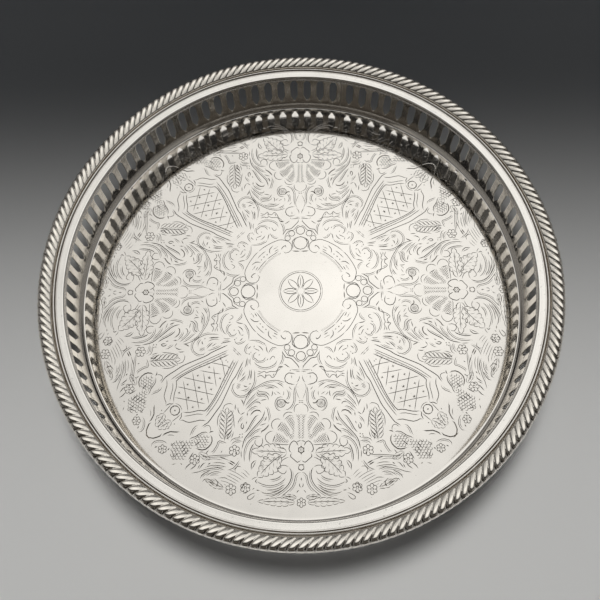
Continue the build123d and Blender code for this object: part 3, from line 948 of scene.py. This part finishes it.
def wall_cell(left, right, low, high):
    """One flat cell of the gallery: its points, the triangles around its piercing, and how many points
    the piercing and the cell's border have."""
    hole = hole_outline(HOLE_RINGS[0][0])
    columns = max(8, round((right - left) / 1.1))
    xs = np.linspace(left, right, columns + 1)
    edge = PAN_TOP - STRIP_BOTTOM
    rows = [low, low + edge, low + edge + STRIP_LEAN_HEIGHT, -4, 4, high - 1.0, high]
    border = [(x, low) for x in xs] + [(right, y) for y in rows[1:-1]]
    border += [(x, high) for x in xs[::-1]] + [(left, y) for y in rows[-2:0:-1]]
    extra = [(x, y) for x in xs[1:-1] for y in (rows[1], rows[-2])]
    extra += [(x, rows[2]) for x in xs[1:-1] if abs(x) > PIERCING_WIDTH / 2]
    points = hole + border + extra
    count = len(hole)
    edges = [(i, (i + 1) % count) for i in range(count)]
    edges += [(count + i, count + (i + 1) % len(border)) for i in range(len(border))]
    flat = [Vector(point) for point in points]
    coords, _, triangles, _, _, _ = delaunay_2d_cdt(flat, edges, [], 0, 1e-4)
    assert len(coords) == len(points), "a cell's points must stay as they are"
    xy = np.array([tuple(c) for c in coords])
    middle = xy[np.array(triangles)].mean(1)
    kept = ~inside(middle, hole)
    return points, [t for t, keep in zip(triangles, kept) if keep], count, len(border)


def build_gallery(material):
    """The pierced strip, one cell per piercing, bent into a hoop that is open at the seam."""
    centre = FLOOR_LEVEL + PIERCING_FOOT + PIERCING_HEIGHT / 2
    low, high = STRIP_BOTTOM - centre, STRIP_TOP - centre
    per_degree = radians(1) * GALLERY_RADIUS
    half_cell = PITCH / 2 * per_degree
    end_cell = SEAM_PITCH / 2 * per_degree - SEAM_WIDTH / 2
    points, faces = [], []

    def place(flat, angle, depth):
        """Adds the flat points, bent round the gallery and set into the sheet by the depth."""
        for x, y in flat:
            turned = radians(angle + x / per_degree)
            lean = np.interp(centre + y, (PAN_TOP, PAN_TOP + STRIP_LEAN_HEIGHT), (0, STRIP_LEAN))
            radius = GALLERY_RADIUS + depth + lean
            points.append((radius * cos(turned), radius * sin(turned), centre + y))

    for number in range(PIERCING_COUNT):
        angle = SEAM_ANGLE + SEAM_PITCH / 2 + number * PITCH
        left = -end_cell if number == 0 else -half_cell
        right = end_cell if number == PIERCING_COUNT - 1 else half_cell
        flat, triangles, hole_count, border_count = wall_cell(left, right, low, high)
        inner = len(points)
        place(flat, angle, 0)
        outer = len(points)
        place(flat, angle, GAUGE)
        for a, b, c in triangles:
            faces.append((inner + c, inner + b, inner + a))
            faces.append((outer + a, outer + b, outer + c))
        rings = [inner]
        for offset, depth in HOLE_RINGS[1:-1]:
            rings.append(len(points))
            place(hole_outline(offset), angle, depth)
        rings.append(outer)
        for here, there in zip(rings, rings[1:]):
            for i in range(hole_count):
                j = (i + 1) % hole_count
                faces.append((here + i, here + j, there + j, there + i))
        for i in range(border_count):
            j = (i + 1) % border_count
            x0, x1 = flat[hole_count + i][0], flat[hole_count + j][0]
            on_left = x0 == x1 == left and number == 0
            on_right = x0 == x1 == right and number == PIERCING_COUNT - 1
            if x0 != x1 or on_left or on_right:
                a, b = hole_count + i, hole_count + j
                faces.append((inner + a, inner + b, outer + b, outer + a))
    piece = make_piece("gallery_pierced", points, faces, material)
    weld(piece)
    heights = np.array([v.co.z for v in piece.data.vertices]) / MM
    # painted shade: the strip darkens towards its foot, strongest where it meets the pan's lip
    set_value(piece, "tarnish_and_shade", np.interp(heights - FLOOR_LEVEL, (0, 4.6, 6.3), (0.8, 0.4, 0.1)))
    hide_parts("gallery_strip")
    return piece


def build_seam(material):
    """The line of solder between the strip's ends. It leans out with the strip."""
    heights = (STRIP_BOTTOM, PAN_TOP, PAN_TOP + STRIP_LEAN_HEIGHT, STRIP_TOP)
    half = SEAM_WIDTH / 2 / GALLERY_RADIUS
    points = []
    for height, lean in zip(heights, (0, 0, STRIP_LEAN, STRIP_LEAN)):
        for depth, side in ((0, -half), (GAUGE, -half), (GAUGE, half), (0, half)):
            radius = GALLERY_RADIUS + depth + lean
            turned = radians(SEAM_ANGLE) + side
            points.append((radius * cos(turned), radius * sin(turned), height))
    faces = [face[::-1] for face in loft_faces(len(heights), 4, False)]
    piece = make_piece("seam_solder", points, faces, material)
    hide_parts("gallery_seam")
    return piece


# ---------------------------------------------------------------- turned rings


def build_foot(material):
    """Base ring: a ledge under the pan and a rounded collar around the foot of the gallery."""
    soft = 0.25
    round_over = 1.2
    profile = arc((FOOT_INNER + soft, soft), soft, 180, 270, 4)
    profile += arc((FOOT_OUTER - soft, soft), soft, 270, 360, 4)
    profile += arc((FOOT_OUTER - round_over, FOOT_TOP - round_over), round_over, 0, 90, 7)
    profile += [(GALLERY_OUTER, FOOT_TOP), (GALLERY_OUTER, LEDGE_TOP)]
    profile += arc((FOOT_INNER + soft, LEDGE_TOP - soft), soft, 90, 180, 4)[:-1]
    piece = turned_piece("base_ring_turned", profile, material)
    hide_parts("base_ring")
    return piece


def build_rim(material):
    """Rim: the flat flange, its bend and the collar with a bead on its lower edge."""
    inner = GALLERY_RADIUS - GAUGE
    outer = OUTER_RADIUS - SHELL_THICKNESS
    bead = 0.5
    bend = 1.0
    bead_centre = (inner, COLLAR_BOTTOM + bead)
    profile = [(GALLERY_RADIUS, COLLAR_BOTTOM), (GALLERY_RADIUS, STRIP_TOP)]
    profile += [(radius, STRIP_TOP) for radius in (GALLERY_OUTER, 149, 153, outer)]
    profile += [(outer, RIM_TOP)]
    # beside the wire a groove and a fine cut line, each as (distance from the wire, depth)
    profile += [(WIRE_INNER + x, RIM_TOP - y) for x, y in (
        (1.9, 0), (0, 0), (-0.12, 0.25), (-0.28, 0.25), (-0.4, 0.02), (-0.85, 0.03), (-0.92, 0.12),
        (-1.0, 0.04), (-2.5, 0.12))]
    # from there the flat band falls slightly towards the bend
    band = RIM_TOP - 0.2
    profile += [(inner + bend + 0.1, band)]
    profile += arc((inner + bend, band - bend), bend, 90, 180, 7)
    profile += [(inner, bead_centre[1] + 1.4), (inner, bead_centre[1] + 0.62)]
    profile += arc(bead_centre, bead, 70, 270, 9)
    piece = turned_piece("rim_turned", profile, material)
    across = np.array([np.hypot(v.co.x, v.co.y) for v in piece.data.vertices]) / MM - WIRE_INNER
    heights = np.array([v.co.z for v in piece.data.vertices]) / MM
    # painted shade: dark in the fine cut line and in the groove beside the wire, and over the whole collar
    # under the flange
    dark = np.interp(across, (-1.01, -0.92, -0.84, -0.4, -0.3, -0.1, 0), (0, 0.9, 0, 0, 1, 1, 0.5))
    collar = heights < RIM_TOP - 1.2
    dark[collar] = 0.35
    set_value(piece, "tarnish_and_shade", dark)
    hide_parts("rim_flange")
    return piece


def build_wire(material):
    """Reeded wire: a round reed with a narrow flat beside it, on the rim."""
    base = RIM_TOP
    top = wire_high.z - base
    profile = [(WIRE_INNER, base)]
    profile += [(WIRE_INNER + x, base + y * top) for x, y in (
        (0.12, 0.35), (0.25, 0.7), (0.45, 0.93), (0.72, 1.0), (1.0, 0.94), (1.2, 0.72), (1.3, 0.45),
        (1.42, 0.3), (1.6, 0.3), (1.72, 0.2))]
    profile += [(WIRE_INNER + WIRE_WIDTH, base)]
    piece = turned_piece("reed_wire_turned", profile[::-1], material)
    across = np.array([np.hypot(v.co.x, v.co.y) for v in piece.data.vertices]) / MM - WIRE_INNER
    # painted shade at the reed's inner foot and over the narrow flat beside it
    set_value(piece, "tarnish_and_shade", np.interp(across, (0, 0.15, 0.3, 1.15, 1.35, 1.8), (1, 0.5, 0, 0, 1, 1)))
    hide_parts("reed_wire")
    return piece


# ---------------------------------------------------------------- gadroon border

LOBES = 200
SECTIONS = 4
LOBE_COLUMNS = 14  # columns of points across one lobe
LOBE_DEPTH = 1.15
HOLLOW_RADII = (150.25, 150.6, 152, 154, 155.4, 157.2, 158.2, 158.75)
HOLLOW_SHARES = (0.1, 0.4, 0.5, 0.6, 0.95, 1, 0.5, 0.1)  # of the full depth, at those radii
SLANT_START = 156.6  # inside this radius a lobe leans
CROWN_SETBACK = 2.9  # from the outer edge in to the highest line of the border
STEP_UP = 0.48  # the border's inner edge stands this share of its height above the rim
LOBE_SLANT = 2.2  # degrees that a lobe leans from its outer end to its inner end


def border_surface(columns, inset):
    """One section's skin, moved inwards by the inset: points by column and place in the profile, with the
    depth of the hollow there as a share of the full depth."""
    inner = OUTER_RADIUS - BORDER_WIDTH
    height = BORDER_TOP - RIM_TOP
    # a short step up, a long gentle rise to the crown and a round outer side
    crown = OUTER_RADIUS - CROWN_SETBACK
    rise = np.linspace(0, 1, 13)
    r_in = inner + 0.35 + (crown - inner - 0.35) * rise
    z_in = RIM_TOP + height * (STEP_UP + (1 - STEP_UP) * np.sin(pi / 2 * rise))
    drop = np.radians(np.linspace(90, 0, 12))[1:]
    r = np.concatenate([[inner, inner + 0.12], r_in, crown + CROWN_SETBACK * np.cos(drop)])
    z = np.concatenate([[RIM_TOP, RIM_TOP + 0.7 * STEP_UP * height], z_in, RIM_TOP + height * np.sin(drop)])
    slope_r, slope_z = np.gradient(r), np.gradient(z)
    size = np.hypot(slope_r, slope_z)
    nr, nz = -slope_z / size, slope_r / size
    angles = np.linspace(0, 360 / SECTIONS, columns + 1)
    lean = LOBE_SLANT * np.clip((SLANT_START - r) / 6.2, 0, 1) ** 1.25
    phase = (angles[:, None] - lean) * LOBES / 360
    across = np.abs((phase % 1) * 2 - 1)
    # the hollows are deepest behind the round outer ends and close towards both edges of the border
    reach = np.interp(r, HOLLOW_RADII, HOLLOW_SHARES)
    flatness = np.interp(r, (152, 157), (6.0, 3.0))
    hollow = across**flatness * reach
    push = LOBE_DEPTH * hollow + inset
    points = np.empty((columns + 1, len(r), 3))
    radius = r - nr * push
    points[..., 2] = np.maximum(z - nz * push, RIM_TOP + 0.02)
    turned = np.radians(angles)[:, None]
    points[..., 0] = radius * np.cos(turned)
    points[..., 1] = radius * np.sin(turned)
    return points, hollow


def column_ring(points, radius, height):
    """One point per column at that radius and height."""
    turned = np.arctan2(points[:, 0, 1], points[:, 0, 0])
    return np.stack([radius * np.cos(turned), radius * np.sin(turned), np.full(len(turned), height)], -1)


def turn_by(points, angle):
    """The points turned about the tray's axis."""
    c, s = cos(radians(angle)), sin(radians(angle))
    return np.stack([c * points[..., 0] - s * points[..., 1], s * points[..., 0] + c * points[..., 1],
                     points[..., 2]], -1)


def build_border(shell_material, filling_material):
    """Four stamped shells with slanted lobes, each with its soft filling."""
    columns = LOBES // SECTIONS * LOBE_COLUMNS
    skin, hollow = border_surface(columns, 0)
    back, _ = border_surface(columns, SHELL_THICKNESS)
    edge = OUTER_RADIUS - 0.05
    lip_heights = (RIM_TOP - 0.35, LIP_BOTTOM + 0.15, LIP_BOTTOM)
    lip = [column_ring(skin, edge - taper, z) for taper, z in zip((0, 0.05, 0.2), lip_heights)]
    lip_back = [column_ring(skin, edge - SHELL_THICKNESS, z) for z in lip_heights]
    loops = np.concatenate([skin, np.stack(lip, 1), np.stack(lip_back[::-1], 1), back[:, ::-1]], 1)
    # painted shade: dark in the lobes' hollows and on the outer lip
    values = np.zeros(loops.shape[:2])
    values[:, : hollow.shape[1]] = hollow**1.2
    values[:, hollow.shape[1] : hollow.shape[1] + len(lip)] = 0.5
    faces = loft_faces(columns + 1, loops.shape[1], False)
    core = np.concatenate([back, back[:, ::-1] * (1, 1, 0) + (0, 0, RIM_TOP)], 1)
    core_faces = loft_faces(columns + 1, core.shape[1], False)
    for number in range(SECTIONS):
        angle = SEAM_ANGLE + number * 360 / SECTIONS
        shell = make_piece(f"gadroon_{number + 1}", turn_by(loops, angle).reshape(-1, 3), faces,
                           shell_material, sharp=50)
        set_value(shell, "tarnish_and_shade", values.ravel())
        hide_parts(f"gadroon_shell_{number + 1}")
        filling = make_piece(f"filling_{number + 1}", turn_by(core, angle).reshape(-1, 3), core_faces,
                             filling_material, sharp=50)
        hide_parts(f"gadroon_filling_{number + 1}")


# ---------------------------------------------------------------- materials


class Nodes:
    """Short calls for building one material's nodes."""

    def __init__(self, name):
        self.material = bpy.data.materials.new(name)
        self.material.use_nodes = True
        self.tree = self.material.node_tree
        self.shader = self.tree.nodes["Principled BSDF"]
        self.place = self.add("ShaderNodeTexCoord").outputs["Object"]

    def add(self, kind, **settings):
        node = self.tree.nodes.new(kind)
        for key, value in settings.items():
            setattr(node, key, value)
        return node

    def put(self, socket, value):
        """Links a socket to another, or sets its value."""
        if isinstance(value, bpy.types.NodeSocket):
            self.tree.links.new(value, socket)
        else:
            socket.default_value = value

    def noise(self, scale, detail=2.0, stretch=None, turned=0.0, distortion=0.0):
        """A noise value. Stretched noise makes fine scratches in one direction."""
        node = self.add("ShaderNodeTexNoise")
        vector = self.place
        if stretch:
            mapping = self.add("ShaderNodeMapping")
            self.put(mapping.inputs["Vector"], self.place)
            mapping.inputs["Rotation"].default_value = (0, 0, radians(turned))
            mapping.inputs["Scale"].default_value = stretch
            vector = mapping.outputs["Vector"]
        self.put(node.inputs["Vector"], vector)
        node.inputs["Scale"].default_value = scale
        node.inputs["Detail"].default_value = detail
        node.inputs["Distortion"].default_value = distortion
        return node.outputs["Fac"]

    def range(self, value, low, high, to_low, to_high):
        """The value, mapped from one range to another and clamped."""
        node = self.add("ShaderNodeMapRange")
        self.put(node.inputs["Value"], value)
        limits = ("From Min", low), ("From Max", high), ("To Min", to_low), ("To Max", to_high)
        for socket, limit in limits:
            self.put(node.inputs[socket], limit)
        return node.outputs["Result"]

    def math(self, operation, first, second):
        node = self.add("ShaderNodeMath", operation=operation, use_clamp=False)
        self.put(node.inputs[0], first)
        self.put(node.inputs[1], second)
        return node.outputs[0]

    def mix(self, share, first, second):
        """A colour between two, by the share."""
        node = self.add("ShaderNodeMix", data_type="RGBA")
        self.put(node.inputs[0], share)
        self.put(node.inputs[6], first)
        self.put(node.inputs[7], second)
        return node.outputs[2]

    def attribute(self, name):
        return self.add("ShaderNodeAttribute", attribute_name=name).outputs["Fac"]

    def bump(self, height, strength, distance, normal=None):
        node = self.add("ShaderNodeBump")
        self.put(node.inputs["Height"], height)
        node.inputs["Strength"].default_value = strength
        node.inputs["Distance"].default_value = distance
        if normal:
            self.put(node.inputs["Normal"], normal)
        return node.outputs["Normal"]


def silver(name, bright, dark, polish, dirt_and_shade=1.0, scratch=0.25, wave=0.0, dents=0.0, blotch=0.3, haze=0.08):
    """Plated silver: bright and polished, dark where tarnish stays and where shade is painted, with fine
    scratches and dull patches.

    polish is the roughness of clean metal, and the argument after it scales the tarnish and the painted
    shade. scratch, wave and dents are strengths of bump. blotch is how far a dull patch darkens, and haze is
    how far fine grain roughens.
    """
    n = Nodes(name)
    patches = n.noise(38, 4, distortion=0.6)
    specks = n.noise(620, 2)
    film = n.range(patches, 0.42, 0.72, 0.0, blotch)
    # the per-point attribute darkens the colour: tarnish in the engraving, painted shade in corners, grooves
    # and hollows of the other pieces
    cavity = n.attribute("tarnish_and_shade")
    stain_and_shade_amount = n.math("MULTIPLY", cavity, n.range(n.noise(150, 3), 0.3, 0.7, 0.75 * dirt_and_shade, 1.1 * dirt_and_shade))
    stain_and_shade = n.range(stain_and_shade_amount, 0.05, 0.95, 0.0, 1.0)
    clean = n.mix(film, (*bright, 1), tuple(0.78 * b + 0.1 * d for b, d in zip(bright, dark)) + (1,))
    colour = n.mix(stain_and_shade, clean, (*dark, 1))
    fleck = n.range(specks, 0.69, 0.75, 0.0, 0.5)
    n.put(n.shader.inputs["Base Color"], n.mix(fleck, colour, tuple(0.55 * b for b in bright) + (1,)))
    rough = n.math("ADD", n.range(patches, 0.3, 0.75, polish, polish + 0.05),
                   n.range(n.noise(1900, 2), 0.44, 0.6, 0.0, haze))
    lines_one = n.noise(90, 1.0, (1, 26, 1), 24)
    lines_two = n.noise(90, 1.0, (26, 1, 1), -17)
    scuffs = n.math("ADD", n.range(lines_one, 0.62, 0.72, 0, 1), n.range(lines_two, 0.62, 0.72, 0, 1))
    rough = n.math("ADD", rough, n.math("MULTIPLY", scuffs, 0.04))
    rough = n.math("ADD", rough, n.math("MULTIPLY", stain_and_shade, 0.25))
    n.put(n.shader.inputs["Roughness"], rough)
    n.shader.inputs["Metallic"].default_value = 1.0
    normal = n.bump(scuffs, scratch, 0.00002)
    if wave:
        normal = n.bump(n.noise(16, 1.0), wave, 0.0006, normal)
    if dents:
        normal = n.bump(n.noise(330, 2.0), dents, 0.0004, normal)
    n.put(n.shader.inputs["Normal"], normal)
    return n.material


def soft_metal(name, colour, rough):
    """Dull grey cast metal with a grainy skin, for solder and the border's filling."""
    n = Nodes(name)
    grain = n.noise(900, 3)
    clouds = n.noise(120, 3)
    n.put(n.shader.inputs["Base Color"], n.mix(clouds, (*colour, 1), tuple(0.6 * c for c in colour) + (1,)))
    n.put(n.shader.inputs["Roughness"], n.range(grain, 0.3, 0.7, rough, rough + 0.2))
    n.shader.inputs["Metallic"].default_value = 0.9
    n.put(n.shader.inputs["Normal"], n.bump(grain, 0.3, 0.0001))
    return n.material


engraved_silver = silver("engraved_silver", (0.90, 0.875, 0.835), (0.10, 0.08, 0.06), 0.035,
                         dirt_and_shade=1.15, scratch=0.06, wave=0.015, haze=0.03)
gallery_silver = silver("gallery_silver", (0.90, 0.86, 0.79), (0.11, 0.075, 0.05), 0.06,
                        dents=0.35, blotch=0.5)
rim_silver = silver("rim_silver", (0.95, 0.93, 0.89), (0.16, 0.12, 0.08), 0.09)
border_silver = silver("border_silver", (0.93, 0.89, 0.82), (0.06, 0.045, 0.03), 0.1)
foot_silver = silver("foot_silver", (0.86, 0.83, 0.78), (0.15, 0.11, 0.07), 0.2)
hard_solder = soft_metal("hard_solder", (0.62, 0.60, 0.55), 0.35)
soft_filling = soft_metal("soft_filling", (0.42, 0.42, 0.43), 0.45)

build_pan(engraved_silver)
build_gallery(gallery_silver)
build_seam(hard_solder)
build_foot(foot_silver)
build_rim(rim_silver)
build_wire(rim_silver)
build_border(border_silver, soft_filling)


# ---------------------------------------------------------------- floor, light and camera


def build_floor():
    """A plain pale floor."""
    n = Nodes("pale_floor")
    colour = n.mix(n.noise(3, 2), (0.52, 0.52, 0.515, 1), (0.55, 0.55, 0.545, 1))
    n.put(n.shader.inputs["Base Color"], colour)
    n.shader.inputs["Roughness"].default_value = 0.75
    side = 6.0
    corners = [(-side, -side, 0), (side, -side, 0), (side, side, 0), (-side, side, 0)]
    mesh = bpy.data.meshes.new("floor")
    mesh.from_pydata(corners, [], [(0, 1, 2, 3)])
    mesh.materials.append(n.material)
    floor = bpy.data.objects.new("floor", mesh)
    bpy.context.scene.collection.objects.link(floor)


def add_softbox(name, place, target, size, power, colour=(1, 1, 1), diffuse=True, glossy=True, spread=180):
    """A rectangular soft light that looks at its target and is not itself seen by the camera."""
    light = bpy.data.lights.new(name, "AREA")
    light.shape = "RECTANGLE"
    light.size, light.size_y = size
    light.energy = power
    light.color = colour
    light.spread = radians(spread)
    lamp = bpy.data.objects.new(name, light)
    lamp.location = place
    lamp.rotation_euler = (Vector(target) - Vector(place)).to_track_quat("-Z", "Y").to_euler()
    lamp.visible_camera = False
    lamp.visible_diffuse = diffuse
    lamp.visible_glossy = glossy
    bpy.context.scene.collection.objects.link(lamp)


def build_camera():
    """The viewpoint: above the near side of the tray, looking down at its far half."""
    eye = Vector((5.86, -142.42, 391.58)) * MM
    target = Vector((0.12, -18.0, 36.5)) * MM
    roll = radians(-2.98)
    data = bpy.data.cameras.new("camera")
    data.lens = 37.77
    data.sensor_width = 36
    data.clip_start = 0.01
    camera = bpy.data.objects.new("camera", data)
    camera.location = eye
    turn_to = (target - eye).to_track_quat("-Z", "Y") @ Quaternion((0, 0, 1), roll)
    camera.rotation_euler = turn_to.to_euler()
    bpy.context.scene.collection.objects.link(camera)
    bpy.context.scene.camera = camera


build_floor()
# Lights that only the polished metal reflects have diffuse off; lights for the floor alone have glossy off
add_softbox("softbox_above", (0.01, 0.42, 1.3), (-0.08, -0.015, 0.1), (2.1, 1.45), 2.75, (1.0, 0.985, 0.95),
            diffuse=False, spread=98)
add_softbox("floor_light", (0, -0.26, 0.84), (0, -0.66, -0.077), (2.4, 1.2), 7.4, (1.0, 0.995, 0.98),
            glossy=False, spread=28)
add_softbox("front_wall", (0, -1.25, 0.95), (0, 0, 0), (3.0, 1.7), 0.85, (1.0, 0.88, 0.72), diffuse=False)
add_softbox("front_fill", (0, -0.6, 0.22), (0, -0.1, 0), (1.2, 0.2), 0.6, (1.0, 0.995, 0.98), glossy=False)
add_softbox("backdrop_glow", (0, 1.2, 1.0), (0, 0.9, 0), (2.0, 0.6), 0.5, (0.45, 0.7, 1.0), glossy=False)
# low side walls of the studio, for the reflections that low viewpoints see
for side, place in (("left", (-1.8, 0, 0.65)), ("right", (1.8, 0, 0.65)), ("back", (0, 1.9, 0.65))):
    add_softbox(f"{side}_wall", place, (0, 0, 0), (4.4, 1.1), 3.2, (1.0, 0.97, 0.93), diffuse=False)
build_camera()

world = bpy.data.worlds.new("studio")
bpy.context.scene.world = world
world.use_nodes = True
world.node_tree.nodes["Background"].inputs["Color"].default_value = (0.014, 0.014, 0.015, 1)
world.node_tree.nodes["Background"].inputs["Strength"].default_value = 1.0
bpy.context.scene.view_settings.view_transform = "Standard"
